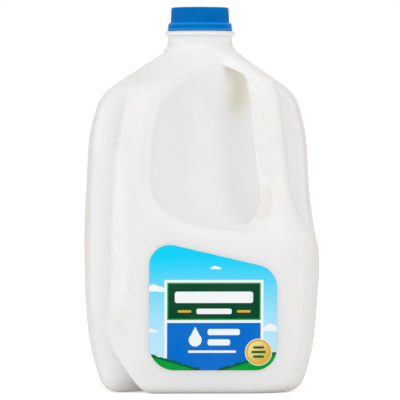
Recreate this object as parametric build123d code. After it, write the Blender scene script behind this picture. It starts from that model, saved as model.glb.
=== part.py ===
"""A one-gallon blow-moulded milk jug: jug, press-on cap and label.

Frame: millimetres, +Z up, origin on the table under the middle of the neck.
The label is on the front wall, which faces -Y. The grip is on the front right corner.
The jug is the same on both sides of its parting plane, the upright plane through the
neck and the grip. The grip direction lies in that plane; the pull direction is square to it.
"""

import os
from math import radians, sqrt, tan

from build123d import *

# Overall body
SIDE = 156.2  # width and depth of the square body, at its corners
WALL_BULGE = 1.6  # how far the middle of each wall bows out past that
CORNER_RADIUS = 34.0  # upright corners, as seen from above
FOOT_INSET = 12.0  # the wall's foot, inside the widest part
FOOT_FLAT = 9.4  # ring of the base that can touch the table
FOOT_RADIUS = 13.0  # between the base and the wall
LOWER_LEAN_HEIGHT = 22.6  # the wall leans in below here,
LOWER_LEAN = 3.3  # by this much
WAIST_HEIGHT = 64.0  # the wall is upright from here
WALL_TOP = 111.0  # to here
UPPER_LEAN_HEIGHT = 177.0  # and has leaned in by UPPER_LEAN at this height
UPPER_LEAN = 2.7
SHOULDER_HEIGHT = 204.0  # where the wall turns into the shoulder
SHOULDER_INSET = 9.8  # how far the wall has leaned in by then
SHOULDER_RADIUS = 29.0
SHOULDER_TOP = 233.8  # where the shoulder meets the neck
WALL_RADII = (124.0, 410.0, 615.0, 82.0)  # the gentle bends between those heights
WALL_STEPS = 36  # outlines that the body is lofted through

# Neck and its finish
NECK_RADIUS = 22.2
NECK_ROOT_RADIUS = 24.7  # the ring at the foot of the neck
NECK_ROOT_HEIGHT = 3.1
COLLAR_RADIUS = 24.3  # the bead under the cap
COLLAR_TOP = 246.8
COLLAR_THICKNESS = 3.3
FINISH_RADIUS = 18.1  # the mouth's outside, inside the cap
FINISH_HEIGHT = 15.0

# Cap
CAP_WALL = 1.3
CAP_ROOF = 1.4
CAP_CLEARANCE = 0.35  # round the finish
CAP_EDGE_RADIUS = 1.3
CAP_DRAFT = 0.4  # the skirt is this much wider at its foot
BAND_HEIGHT = 5.3  # the tear band at the cap's foot
BAND_FLARE = 1.5  # how far the band stands out at its top
BAND_SPREAD = 0.8  # further flare at its foot
BAND_WALL = 1.2
RIB_COUNT = 72
RIB_DEPTH = 0.35
GROOVE_RADIUS = 0.6  # of the round groove between two ribs

# Hand recess and grip
RECESS_FLOOR = 26.0  # distance of the recess's flat floor from the neck's axis
SHELF_INNER_HEIGHT = 115.2  # the shelf under the grip, at the recess floor
SHELF_FALL = 12.0  # how far the shelf falls from there to the corner
SHELF_BLEND = 30.0  # radius between the floor and the shelf
RIM_RADIUS = 6.0  # rounding where the recess breaks through the walls
GRIP_DEPTH = 22.6  # thickness of the grip along the grip direction
GRIP_WIDTH = 20.6
GRIP_FLARE = 1.1  # how much thicker the grip is where it joins the shoulder
GRIP_FOOT_FLARE = 1.7  # and where it joins the shelf
GRIP_TOP_HEIGHT = 205.4  # middle of the grip where it turns down
GRIP_TOP_REACH = 59.5  # and its distance from the neck's axis
GRIP_SLOPE = 25.0  # degrees that its top falls, going outward
GRIP_BEND = 15.5
GRIP_FOOT_RADIUS = 12.0  # rounding between the grip and the shelf

# Channel that runs down two corners and across the base between them
CHANNEL_TOOL_RADIUS = 34.0
CHANNEL_DEPTH = 3.0  # on the upright corners
CHANNEL_TOP = 193.4  # from here up it runs straight on and fades out of the shoulder
BASE_ARCH = 6.2  # height of the channel over the table
CHANNEL_TURN = 76.0  # radius of the tool's path under the corner

# Label
LABEL_THICKNESS = 0.2
LABEL_LEFT = -37.0
LABEL_RIGHT = 49.2
LABEL_BOTTOM = 16.3
LABEL_TOP_LEFT = 104.8  # the top edge falls to the right, along the recess
LABEL_TOP_RIGHT = 84.6
LABEL_TOP_RADII = (14.0, 15.4)  # left, right
LABEL_BOTTOM_RADII = (17.5, 14.4)

HALF = SIDE / 2
LEAST_STRAIGHT = 0.4  # so that every outline keeps four sides
LEAST_BULGE = 0.02  # so that every side stays an arc
FINISH_TOP = COLLAR_TOP + FINISH_HEIGHT
GRIP_DIRECTION = Vector(1, -1, 0).normalized()
PULL_DIRECTION = Vector(1, 1, 0).normalized()
GRIP_PLANE = Plane(origin=(0, 0, 0), x_dir=GRIP_DIRECTION, z_dir=-PULL_DIRECTION)
PULL_PLANE = Plane(origin=(0, 0, 0), x_dir=PULL_DIRECTION, z_dir=GRIP_DIRECTION)


def wall_profile():
    """The body's half width (X) against height (Y), from the base to the neck."""
    foot = HALF - FOOT_INSET
    points = [
        (foot - FOOT_FLAT, 0),
        (foot, 0),
        (HALF - LOWER_LEAN, LOWER_LEAN_HEIGHT),
        (HALF, WAIST_HEIGHT),
        (HALF, WALL_TOP),
        (HALF - UPPER_LEAN, UPPER_LEAN_HEIGHT),
        (HALF - SHOULDER_INSET, SHOULDER_HEIGHT),
        (NECK_RADIUS, SHOULDER_TOP),
    ]
    return FilletPolyline(*points, radius=[FOOT_RADIUS, *WALL_RADII, SHOULDER_RADIUS])


def corner_radius(half_width):
    """Corner radius of the body's outline, which shrinks to the neck's round."""
    full = HALF - SHOULDER_INSET
    share = min(1.0, (half_width - NECK_RADIUS) / (full - NECK_RADIUS))
    return NECK_RADIUS + (CORNER_RADIUS - NECK_RADIUS) * share


def bulge(height):
    """How far the middle of each wall bows out: most halfway up, and next to nothing at the ends."""
    up = min(max(height / SHOULDER_HEIGHT, 0.0), 1.0)
    return WALL_BULGE * (4 * up * (1 - up)) ** 1.5 + LEAST_BULGE


def body_outline(half_width, height, grow=0.0):
    """The body's rounded square at one height, with its four sides bowed out."""
    half = half_width + grow
    out = half + bulge(height)
    corners = [(half, -half), (half, half), (-half, half), (-half, -half)]
    middles = [(out, 0), (0, out), (-out, 0), (0, -out)]
    ends = corners[1:] + corners[:1]
    sides = [ThreePointArc(*three) for three in zip(corners, middles, ends)]
    square = make_face(Wire(sides))
    radius = min(corner_radius(half_width), half_width - LEAST_STRAIGHT) + grow
    return Plane.XY.offset(height) * fillet(square.vertices(), radius)


def walls(grow=0.0):
    """The closed body, square below and round at the neck, with no recess or grip."""
    profile = wall_profile()
    places = [profile @ (step / WALL_STEPS) for step in range(WALL_STEPS + 1)]
    return loft([body_outline(place.X, place.Y, grow) for place in places])


def corner_reach(height):
    """Distance from the neck's axis to an upright corner at a height."""
    level = Line((0, height), (SIDE, height))
    half_width = (wall_profile() & level).vertices()[0].X
    radius = corner_radius(half_width)
    return (half_width - radius) * sqrt(2) + radius


def recess_tool():
    """The hand space on both sides of the grip, from the shelf to above the shoulder."""
    reach = SIDE
    shelf_end = SHELF_INNER_HEIGHT - SHELF_FALL * reach / (HALF * sqrt(2))
    above = SHOULDER_TOP + SIDE
    outline = Polyline(
        (RECESS_FLOOR, above),
        (RECESS_FLOOR, SHELF_INNER_HEIGHT),
        (reach, shelf_end),
        (reach, above),
        close=True,
    )
    face = make_face(outline)
    inner = face.vertices().filter_by(lambda v: abs(v.Y - SHELF_INNER_HEIGHT) < 1e-6)
    face = fillet(inner, SHELF_BLEND)
    return extrude(GRIP_PLANE * face, amount=SIDE, both=True)


def on_rim(place):
    """Whether a place is on the edge between the recess and the walls."""
    away = (place.X - place.Y) / sqrt(2)
    across = (place.X + place.Y) / sqrt(2)
    corner = abs(across) < 1 and away < HALF
    return away > RECESS_FLOOR - 1 and WALL_TOP - SHELF_FALL < place.Z and not corner


def grip():
    """The tube from the shoulder out and down to the shelf."""
    top = Vector(GRIP_TOP_REACH, GRIP_TOP_HEIGHT)
    back = GRIP_TOP_REACH - NECK_RADIUS / 3
    start = Vector(top.X - back, top.Y + back * tan(radians(GRIP_SLOPE)))
    foot_reach = corner_reach(WALL_TOP) - GRIP_DEPTH / 2 * GRIP_FOOT_FLARE
    foot = Vector(foot_reach, SHELF_INNER_HEIGHT - SHELF_FALL - GRIP_WIDTH / 2)
    line = GRIP_PLANE * FilletPolyline(start, top, foot, radius=GRIP_BEND)
    sections = []
    for place, flare in ((0.0, GRIP_FLARE), (0.3, 1.0), (0.75, 1.0), (1.0, GRIP_FOOT_FLARE)):
        across = Plane(origin=line @ place, x_dir=PULL_DIRECTION, z_dir=line % place)
        sections.append(across * Ellipse(GRIP_WIDTH / 2 * flare, GRIP_DEPTH / 2 * flare))
    return sweep(sections, path=line, multisection=True)


def channel_tool():
    """A tube outside the two plain corners and under the base, which cuts the channel."""
    out = CHANNEL_TOOL_RADIUS - CHANNEL_DEPTH
    heights = (CHANNEL_TOP, UPPER_LEAN_HEIGHT, WALL_TOP)
    top, lean, side = (Vector(corner_reach(height) + out, height) for height in heights)
    above = top + (top - lean) * 2
    under = Vector(side.X, BASE_ARCH - CHANNEL_TOOL_RADIUS)
    route = [(point.X, point.Y) for point in (above, lean, side, under)]
    route += [(-reach, height) for reach, height in reversed(route)]
    bends = [SIDE, SIDE, CHANNEL_TURN, CHANNEL_TURN, SIDE, SIDE]
    line = PULL_PLANE * FilletPolyline(*route, radius=bends)
    start = Plane(origin=line @ 0, z_dir=line % 0)
    return sweep(start * Circle(CHANNEL_TOOL_RADIUS), path=line)


def neck():
    """Neck, its root ring, the bead under the cap and the closed mouth."""
    root = SHOULDER_TOP - NECK_ROOT_HEIGHT
    outline = Polyline(
        (0, root),
        (NECK_ROOT_RADIUS, root),
        (NECK_ROOT_RADIUS, SHOULDER_TOP),
        (NECK_RADIUS, SHOULDER_TOP + NECK_ROOT_HEIGHT),
        (NECK_RADIUS, COLLAR_TOP - COLLAR_THICKNESS),
        (COLLAR_RADIUS, COLLAR_TOP - 0.75 * COLLAR_THICKNESS),
        (COLLAR_RADIUS, COLLAR_TOP - 0.35 * COLLAR_THICKNESS),
        (NECK_RADIUS, COLLAR_TOP),
        (FINISH_RADIUS, COLLAR_TOP),
        (FINISH_RADIUS, FINISH_TOP),
        (0, FINISH_TOP),
        close=True,
    )
    return revolve(Plane.XZ * make_face(outline), Axis.Z)


def jug():
    """The jug in one piece, with what it holds."""
    body = walls() - recess_tool()
    rim = [edge for edge in body.edges() if on_rim(edge @ 0.5)]
    body = fillet(rim, RIM_RADIUS)
    tube = grip()
    joined = body + tube
    seam = new_edges(body, tube, combined=joined)
    foot = seam.filter_by(lambda edge: (edge @ 0.5).Z < SHELF_INNER_HEIGHT + SHELF_BLEND)
    body = fillet(foot, GRIP_FOOT_RADIUS)
    body = body - channel_tool()
    return body + neck()


def cap():
    """Press-on cap with ribs round its skirt and a tear band at its foot."""
    bore = FINISH_RADIUS + CAP_CLEARANCE
    skirt = bore + CAP_WALL
    band = skirt + CAP_DRAFT + BAND_FLARE
    foot = COLLAR_TOP + CAP_CLEARANCE
    band_top = foot + BAND_HEIGHT
    roof = FINISH_TOP + CAP_ROOF
    outline = make_face(
        Polyline(
            (0, FINISH_TOP),
            (bore, FINISH_TOP),
            (bore, band_top),
            (band - BAND_WALL, band_top - BAND_WALL),
            (band + BAND_SPREAD - BAND_WALL, foot),
            (band + BAND_SPREAD, foot),
            (band, band_top),
            (skirt + CAP_DRAFT, band_top),
            (skirt, roof),
            (0, roof),
            close=True,
        )
    )
    edge = outline.vertices().filter_by(lambda v: abs(v.X - skirt) < 1e-6)
    outline = fillet(edge, CAP_EDGE_RADIUS)
    shell = revolve(Plane.XZ * outline, Axis.Z)
    middle = Pos(skirt + CAP_DRAFT + GROOVE_RADIUS - RIB_DEPTH, 0, band_top)
    cut = extrude(middle * Circle(GROOVE_RADIUS), amount=roof - CAP_EDGE_RADIUS - band_top)
    grooves = [Rot(0, 0, 360 * turn / RIB_COUNT) * cut for turn in range(RIB_COUNT)]
    return shell - Compound(grooves)


def label_outline():
    """The label's shape, as seen from the front."""
    outline = make_face(
        Polyline(
            (LABEL_LEFT, LABEL_BOTTOM),
            (LABEL_RIGHT, LABEL_BOTTOM),
            (LABEL_RIGHT, LABEL_TOP_RIGHT),
            (LABEL_LEFT, LABEL_TOP_LEFT),
            close=True,
        )
    )
    radii = {
        (LABEL_LEFT, LABEL_BOTTOM): LABEL_BOTTOM_RADII[0],
        (LABEL_RIGHT, LABEL_BOTTOM): LABEL_BOTTOM_RADII[1],
        (LABEL_RIGHT, LABEL_TOP_RIGHT): LABEL_TOP_RADII[1],
        (LABEL_LEFT, LABEL_TOP_LEFT): LABEL_TOP_RADII[0],
    }
    for (x, y), radius in radii.items():
        corner = outline.vertices().sort_by_distance((x, y))[0]
        outline = fillet(corner, radius)
    return outline


def label():
    """The label, laid on the front wall."""
    stamp = extrude(Plane.XZ * label_outline(), amount=SIDE)
    return (walls(LABEL_THICKNESS) & stamp) - walls()


parts = {"jug": jug(), "cap": cap(), "label": label()}
os.makedirs("parts", exist_ok=True)
for name, shape in parts.items():
    export_step(shape, f"parts/{name}.step")
    print(name, len(shape.solids()), round(shape.volume), shape.is_valid)
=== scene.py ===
"""A one-gallon milk jug with its press-on cap, its label and the dew on it, on a plain stage.

The jug is worked out as a distance field from its sizes and then turned into a mesh.
Sizes in the property groups are metres; the shape functions work in millimetres.
Directions: +Z up, the label's wall faces -Y, and the grip is on the +X -Y corner.
"away" is the distance from the neck's axis towards the grip, "across" is square to it.
"""

import math

import bmesh
import bpy
import numpy as np
import openvdb
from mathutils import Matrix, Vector
from mathutils.bvhtree import BVHTree


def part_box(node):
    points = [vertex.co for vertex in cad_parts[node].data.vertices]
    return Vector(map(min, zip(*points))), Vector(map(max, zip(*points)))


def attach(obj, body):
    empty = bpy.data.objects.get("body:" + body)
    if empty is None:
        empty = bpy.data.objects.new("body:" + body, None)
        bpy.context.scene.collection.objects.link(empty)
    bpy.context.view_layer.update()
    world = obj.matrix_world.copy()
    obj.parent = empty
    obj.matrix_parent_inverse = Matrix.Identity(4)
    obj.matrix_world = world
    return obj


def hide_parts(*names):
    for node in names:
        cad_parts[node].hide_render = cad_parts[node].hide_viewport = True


bl_info = {
    "name": "Milk Jug",
    "version": (1, 0, 0),
    "blender": (4, 5, 0),
    "location": "3D View > Sidebar > Milk Jug",
    "description": "Builds a blown plastic milk jug with its cap, label and dew",
    "category": "Add Mesh",
}

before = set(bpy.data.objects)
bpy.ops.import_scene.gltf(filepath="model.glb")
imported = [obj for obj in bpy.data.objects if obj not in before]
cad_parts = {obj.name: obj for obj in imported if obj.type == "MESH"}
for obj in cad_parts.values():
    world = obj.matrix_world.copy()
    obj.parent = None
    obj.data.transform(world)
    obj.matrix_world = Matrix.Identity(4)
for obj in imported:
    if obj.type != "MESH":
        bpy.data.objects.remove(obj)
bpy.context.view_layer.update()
JUG_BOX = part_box("jug")
CAP_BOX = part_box("cap")
LABEL_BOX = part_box("label")

MM = 1000.0
ROOT_HALF = math.sqrt(0.5)
WALL_BULGE = 1.62  # millimetres that the middle of each wall bows out


# --- settings -------------------------------------------------------------------------


def length(name, description, default, **limits):
    """A length in metres."""
    return bpy.props.FloatProperty(
        name=name, description=description, default=default, subtype="DISTANCE",
        unit="LENGTH", precision=5, **limits)


def colour(name, description, default):
    """A colour, in the renderer's linear values."""
    return bpy.props.FloatVectorProperty(
        name=name, description=description, default=default, size=3,
        subtype="COLOR", min=0.0, max=1.0)


def whole(name, description, default, least=0):
    """A whole number."""
    return bpy.props.IntProperty(
        name=name, description=description, default=default, min=least)


def strength(name, description, default):
    """How much light something gives."""
    return bpy.props.FloatProperty(name=name, description=description, default=default, min=0.0)


def lamp_power(name, description, default):
    """A lamp's power."""
    return bpy.props.FloatProperty(
        name=name, description=description, default=default, min=0.0,
        subtype="POWER", unit="POWER")


def share(name, description, default):
    """A plain number from 0 to 1."""
    return bpy.props.FloatProperty(
        name=name, description=description, default=default, min=0.0, max=1.0, subtype="FACTOR")


class JugSettings(bpy.types.PropertyGroup):
    """Sizes and colours of the blown plastic body."""

    side: length("Side", "Width and depth of the body at its corners",
                 float(JUG_BOX[1][0] - JUG_BOX[0][0]) - 2 * WALL_BULGE / MM)
    mouth_height: length("Mouth height", "Height of the mouth's rim", float(JUG_BOX[1][2]))
    mesh_step: length("Mesh step", "Spacing of the grid that the mesh comes from", 0.00125)
    corner_radius: length("Corner radius", "Upright corners, from above", 0.034)
    recess_floor: length("Recess floor", "From the neck's axis to the recess's floor", 0.026)
    shelf_height: length("Shelf height", "The shelf at the recess's floor", 0.1152)
    shelf_fall: length("Shelf fall", "How far the shelf falls to the corner", 0.012)
    shelf_blend: length("Shelf blend", "Radius between the floor and the shelf", 0.030)
    rim_bevel: length("Rim bevel", "How much the recess's rim is cut back", 0.00195)
    rim_blend: length("Rim blend", "Softness of the bevel's two edges", 0.0012)
    rim_bead: length("Rim bead", "How far the bevel's two edges stand up", 0.0006)
    grip_depth: length("Grip depth", "The grip's thickness, outward", 0.0226)
    grip_width: length("Grip width", "The grip's thickness, sideways", 0.0206)
    grip_blend: length("Grip blend", "Softness where the grip joins the body", 0.013)
    channel_radius: length("Channel radius", "Of the round tool that forms the channel", 0.034)
    channel_depth: length("Channel depth", "Of the channel down the plain corners", 0.003)
    channel_blend: length("Channel blend", "Softness of the channel's edges", 0.0022)
    base_arch: length("Base arch", "Height of the channel over the table", 0.0062)
    unevenness: length("Unevenness", "How far the blown walls wander", 0.00015)
    milk: colour("Milky plastic", "The body's colour over the milk", (0.87, 0.865, 0.85))
    empty: colour("Empty plastic", "The body's colour over the headspace", (0.90, 0.895, 0.88))
    # Painted light: hollow is the paler colour painted where the recess is shut in, as if light
    # gathered there
    hollow: colour("Hollow", "The body's colour where it is hollowed out", (0.995, 0.99, 0.98))
    # Painted highlight: pale is painted on the shelf and on the ridge beside the channel
    pale: colour("Pale", "The body's colour on the shelf and the ridge", (1.0, 1.0, 0.995))
    # Painted shade: shade is the warm dark tint painted deep in the folds and round the nook
    shade: colour("Shade", "The warm tint deep in the folds", (0.79, 0.73, 0.62))
    # Painted shade: outline is painted where the wall turns out of sight and in the hollows of the
    # grip's foot
    outline: colour("Outline", "The tint where the wall turns out of sight", (0.70, 0.655, 0.61))
    depth: length("Light depth", "How far light travels in the milk and plastic", 0.011)
    gloss: share("Roughness", "Roughness of the plastic", 0.25)


class CapSettings(bpy.types.PropertyGroup):
    """Sizes and colours of the press-on cap."""

    radius: length("Skirt radius", "Of the ribbed skirt, at its top", 0.01975)
    draft: length("Draft", "The skirt is this much wider at its foot", 0.0004)
    edge: length("Edge radius", "Rounding of the top edge", 0.0013)
    band_height: length("Band height", "Of the tear band", 0.0053)
    band_flare: length("Band flare", "How far the band stands out", 0.0015)
    band_spread: length("Band spread", "Further flare at the band's foot", 0.0008)
    wall: length("Wall", "Thickness of skirt and band", 0.0012)
    rib_depth: length("Rib depth", "Depth of the grooves between ribs", 0.00035)
    ribs: whole("Ribs", "Ribs round the skirt", 72, 8)
    bridges: whole("Bridges", "Small ties between skirt and band", 24, 4)
    blue: colour("Cap blue", "The cap's colour", (0.0, 0.175, 0.56))
    # Painted highlight: thin is the lighter blue painted on the band's shoulder and foot
    thin: colour("Thin blue", "The cap's colour where it is thin", (0.004, 0.29, 0.80))
    gloss: share("Roughness", "Roughness of the cap", 0.34)


class LabelSettings(bpy.types.PropertyGroup):
    """Sizes and colours of the label."""

    thickness: length("Thickness", "How far the label stands off the wall", 0.00015)
    top_left: length("Top left", "Height of the label's upper top corner", 0.1048)
    top_right: length("Top right", "Height of the label's lower top corner", 0.0846)
    sky_top: colour("Sky, top", "Sky at the label's top", (0.0, 0.66, 0.97))
    sky_bottom: colour("Sky, bottom", "Sky at the hills", (0.52, 0.84, 1.0))
    cloud: colour("Cloud", "Clouds and borders", (0.93, 0.95, 0.96))
    leaf: colour("Leaf", "Bright green", (0.0, 0.36, 0.04))
    bush: colour("Bush", "Dark green of the hills", (0.0, 0.12, 0.04))
    board: colour("Board", "Dark green of the board", (0.0, 0.065, 0.025))
    field: colour("Field", "Blue of the lower panel", (0.0, 0.16, 0.63))
    gold: colour("Gold", "The round seal's rim", (0.76, 0.45, 0.05))
    pale_gold: colour("Pale gold", "The round seal's middle", (0.95, 0.80, 0.32))
    gloss: share("Roughness", "Roughness of the print", 0.42)


class DewSettings(bpy.types.PropertyGroup):
    """Number and size of the dew drops."""

    drops: whole("Drops", "Number of drops", 2600)
    seed: whole("Seed", "Which scatter of drops", 11)
    smallest: length("Smallest", "Radius of the smallest drop", 0.00025)
    largest: length("Largest", "Radius of the largest drop", 0.00075)
    # Partly painted glint: water stands for the wall seen through the drops, painted paler than the
    # wall so they read as bright specks
    water: colour("Water", "The drops' colour over the plastic", (0.97, 0.97, 0.965))


class StageSettings(bpy.types.PropertyGroup):
    """Camera, floor and light."""

    distance: length("Camera distance", "From the neck's axis", 3.4)
    height: length("Camera height", "Above the floor", 0.1646)
    turn: bpy.props.FloatProperty(
        name="Camera turn", description="Round the jug, from straight ahead of the label",
        default=math.radians(-2.0), subtype="ANGLE", unit="ROTATION")
    aim: length("Aim height", "The height that the camera looks at", 0.1306)
    view: length("View width", "Width of the view at the jug", 0.2757)
    paper: colour("Paper", "Floor and backdrop", (0.9, 0.9, 0.9))
    glow: strength("Glow", "Light from the floor itself", 0.12)
    ambient: strength("Ambient", "Light from all round", 0.765)
    key: lamp_power("Key lamp", "Soft lamp at the left", 5.5)
    fill: lamp_power("Fill lamp", "Wide soft lamp at the right", 6.0)
    top: lamp_power("Top lamp", "Soft lamp overhead", 5.5)


# --- paths and profiles ---------------------------------------------------------------


def rounded_path(points, radii, steps=16):
    """The points of a path whose inner corners are rounded to the given radii."""
    points = [np.array(point, dtype=float) for point in points]
    path = [points[0]]
    for before, corner, after, radius in zip(points, points[1:], points[2:], radii):
        back = (before - corner) / np.linalg.norm(before - corner)
        on = (after - corner) / np.linalg.norm(after - corner)
        turn = math.pi - math.acos(float(np.clip(back @ on, -1.0, 1.0)))
        if radius <= 0 or turn < 1e-4:
            path.append(corner)
            continue
        reach = radius * math.tan(turn / 2)
        start, end = corner + back * reach, corner + on * reach
        middle = (back + on) / np.linalg.norm(back + on)
        centre = corner + middle * radius / math.cos(turn / 2)
        first = math.atan2(*(start - centre)[::-1])
        sweep = math.atan2(*(end - centre)[::-1]) - first
        sweep = (sweep + math.pi) % (2 * math.pi) - math.pi
        for step in range(steps + 1):
            angle = first + sweep * step / steps
            path.append(centre + radius * np.array([math.cos(angle), math.sin(angle)]))
    path.append(points[-1])
    return np.array(path)


def path_distance(px, pz, path):
    """Distance from each place to a path, and how far along the path it is nearest, 0 to 1."""
    spans = np.linalg.norm(np.diff(path, axis=0), axis=1)
    along = np.concatenate([[0.0], np.cumsum(spans)])
    best = np.full(px.shape, 1e9)
    where = np.zeros(px.shape)
    for (ax, az), (bx, bz), span, start in zip(path, path[1:], spans, along):
        if span < 1e-9:
            continue
        t = ((px - ax) * (bx - ax) + (pz - az) * (bz - az)) / span**2
        t = np.clip(t, 0.0, 1.0)
        gap = np.hypot(px - ax - t * (bx - ax), pz - az - t * (bz - az))
        nearer = gap < best
        best[nearer] = gap[nearer]
        where[nearer] = ((start + t * span) / along[-1])[nearer]
    return best, where


def soft_min(a, b, blend):
    """The smaller of two distances, with a smooth turn between them."""
    h = np.maximum(blend - np.abs(a - b), 0.0) / blend
    return np.minimum(a, b) - h * h * blend / 4


def soft_max(a, b, blend):
    """The larger of two distances, with a smooth turn between them."""
    return -soft_min(-a, -b, blend)


def smooth(low, high, value):
    """0 below low, 1 above high, and smooth between."""
    t = np.clip((value - low) / (high - low), 0.0, 1.0)
    return t * t * (3 - 2 * t)


# Heights and insets of the wall, in millimetres, from the foot to the neck
FOOT_HALF = 66.1
FOOT_FLAT = 9.4
LOWER_LEAN, LOWER_LEAN_HEIGHT = 3.3, 22.6
WAIST_HEIGHT = 64.0
WALL_TOP = 111.0
UPPER_LEAN, LEAN_TOP = 2.7, 177.0
SHOULDER_HALF, SHOULDER_HEIGHT = 68.3, 204.0
SHOULDER_TOP = 233.8
WALL_BENDS = (13.0, 124.0, 410.0, 615.0, 82.0, 29.0)
NECK_RADIUS = 22.2

# The grip and its eye, as (distance from the neck's axis, height) in millimetres
GRIP_START = 7.4  # where the grip's middle line starts, inside the shoulder
GRIP_TOP = (59.5, 205.4)
GRIP_SLOPE = math.tan(math.radians(25.0))
GRIP_BEND = 15.5
GRIP_FOOT_HEIGHT = 92.9
GRIP_FOOT_FLARE = 1.7
EYE_FOOT = 150.0
EYE_INNER = ((52.0, 205.0), (55.0, EYE_FOOT))  # the line along the grip's inner side
EYE_UNDER = ((28.8, 222.5), (44.4, 217.0))  # and the line under its top
EYE_FLOOR_GAP = 4.0  # between the eye and the recess's floor
PROUD = 1.0  # how far the grip may stand out over the closed shape
# The hollow in each flank of the grip's foot, as away, across and height
HOLLOW_PLACE = (69.5, 11.5, 129.0)
HOLLOW_SPREAD = (8.0, 8.0, 13.0)
HOLLOW_SHADE_REACH = (10.0, 10.0, 17.0)  # how far its painted grey shade spreads
HOLLOW_DEPTH = 2.0

# The recess's rim
RIM_SLANT = 0.58  # share of the wall's and the recess's distances in the bevel's
RIM_MELT = 15.0  # how much softer the rim gets at the grip's foot
BEAD_WIDTH = 1.1

# The channel
CHANNEL_TOP = 193.4
CHANNEL_SHIFT = 5.0  # how far round the corner it lies
CHANNEL_HIPS = 3.5  # how much further just above the foot,
CHANNEL_SWING = 10.5  # and how far back from there at the table
CHANNEL_PINCH = 0.8  # how much narrower it gets there

# Places in the material, in metres
MILK_LEVEL = 0.221
RIDGE_X = -0.057  # of the ridge between the channel and the front wall
NOOK_SHADE_CENTRE = (0.0290, -0.0128, 0.2070)  # where the grip leaves the recess's floor, the middle of the painted warm shade
NOOK_STRETCH = 0.6  # heights count this much in the distance from the nook


def wall_half_widths(half):
    """(heights, half widths) of the body's wall."""
    points = [
        (FOOT_HALF - FOOT_FLAT, 0.0), (FOOT_HALF, 0.0), (half - LOWER_LEAN, LOWER_LEAN_HEIGHT),
        (half, WAIST_HEIGHT), (half, WALL_TOP), (half - UPPER_LEAN, LEAN_TOP),
        (SHOULDER_HALF, SHOULDER_HEIGHT), (NECK_RADIUS, SHOULDER_TOP)]
    path = rounded_path(points, WALL_BENDS)
    return path[1:, 1], path[1:, 0]


def corner_radius(half, full_radius):
    """The outline's corner radius at a half width: it shrinks to the neck's round."""
    part = np.clip((half - NECK_RADIUS) / (SHOULDER_HALF - NECK_RADIUS), 0.0, 1.0)
    return np.minimum(NECK_RADIUS + (full_radius - NECK_RADIUS) * part, half - 0.4)


def corner_reach(height, half, full_radius):
    """Distance from the axis to an upright corner at a height."""
    heights, halves = wall_half_widths(half)
    here = float(np.interp(height, heights, halves))
    radius = float(corner_radius(here, full_radius))
    return (here - radius) * math.sqrt(2) + radius


# --- the jug's distance field ---------------------------------------------------------


class Places:
    """A grid of places round the body, with quick tables along its two diagonals.

    Every column of the grid has one of 2n - 1 values of "away" and of "across", so what
    depends on one of them and on the height is worked out once for each value.
    """

    def __init__(self, sizes):
        self.step = sizes.mesh_step * MM
        count = int((sizes.side * MM + 6 * self.step) / self.step) + 1
        row = np.arange(count)
        edge = -(count - 1) / 2 * self.step
        bottom = -3.5 * self.step
        levels = int((SHOULDER_TOP + 12 - bottom) / self.step)
        self.low = np.array([edge, edge, bottom])
        self.x = (edge + self.step * row)[:, None, None]
        self.y = (edge + self.step * row)[None, :, None]
        self.z = bottom + self.step * np.arange(levels)
        self.away = (self.x - self.y) * ROOT_HALF
        self.across = (self.x + self.y) * ROOT_HALF
        diagonal = (np.arange(2 * count - 1) - (count - 1)) * self.step * ROOT_HALF
        self.table_side, self.table_z = np.meshgrid(diagonal, self.z, indexing="ij")
        self.away_row = row[:, None] - row[None, :] + count - 1
        self.across_row = row[:, None] + row[None, :]


def walls_field(at, sizes):
    """The closed square body, without recess, grip or channel."""
    heights, halves = wall_half_widths(sizes.side * MM / 2)
    here = np.interp(at.z, heights, halves)
    lean = 1 / np.sqrt(1 + np.gradient(here, at.z) ** 2)
    radius = corner_radius(here, sizes.corner_radius * MM)
    up = np.clip(at.z / SHOULDER_HEIGHT, 0.0, 1.0)
    bulge = WALL_BULGE * (4 * up * (1 - up)) ** 1.5
    out_x = np.abs(at.x) - (here - radius) - bulge * np.clip(1 - (at.y / here) ** 2, 0, 1)
    out_y = np.abs(at.y) - (here - radius) - bulge * np.clip(1 - (at.x / here) ** 2, 0, 1)
    plan = np.hypot(np.maximum(out_x, 0), np.maximum(out_y, 0))
    plan = plan + np.minimum(np.maximum(out_x, out_y), 0) - radius
    return np.maximum(np.maximum(plan * lean, -at.z), at.z - SHOULDER_TOP)


def recess_field(at, sizes):
    """The hand space: past the floor plane and above the shelf, rounded between them."""
    floor = at.table_side - sizes.recess_floor * MM
    fall = sizes.shelf_fall / (sizes.side / 2 * math.sqrt(2))
    shelf = (at.table_z - sizes.shelf_height * MM + fall * floor) / math.hypot(1, fall)
    blend = sizes.shelf_blend * MM
    short_floor, short_shelf = blend - floor, blend - shelf
    corner = np.hypot(np.maximum(short_floor, 0), np.maximum(short_shelf, 0))
    inside = np.minimum(np.maximum(short_floor, short_shelf), 0)
    return (corner + inside - blend)[at.away_row]


def grip_field(at, sizes):
    """The bent tube from the shoulder to the corner, thin at its start and thick at its foot."""
    depth, width = sizes.grip_depth * MM / 2, sizes.grip_width * MM / 2
    foot = corner_reach(WALL_TOP, sizes.side * MM / 2, sizes.corner_radius * MM)
    foot -= depth * GRIP_FOOT_FLARE
    start = (GRIP_START, GRIP_TOP[1] + (GRIP_TOP[0] - GRIP_START) * GRIP_SLOPE)
    path = rounded_path([start, GRIP_TOP, (foot, GRIP_FOOT_HEIGHT)], [GRIP_BEND])
    gap, where = path_distance(at.table_side, at.table_z, path)
    swell = 1 - 0.15 * smooth(0.22, 0.0, where)
    swell = swell + (GRIP_FOOT_FLARE - 1) * smooth(0.70, 1.0, where)
    gap, swell = (gap / swell)[at.away_row], swell[at.away_row]
    ring = np.hypot(gap / depth, at.across / (width * swell))
    return (ring - 1) * min(depth, width) * swell


def beyond_line(at, start, end):
    """Distance past the line from start to end, counted up and outward."""
    run, fall = end[0] - start[0], start[1] - end[1]
    past = (at.table_side - start[0]) * fall + (at.table_z - start[1]) * run
    return past / math.hypot(run, fall)


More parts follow.
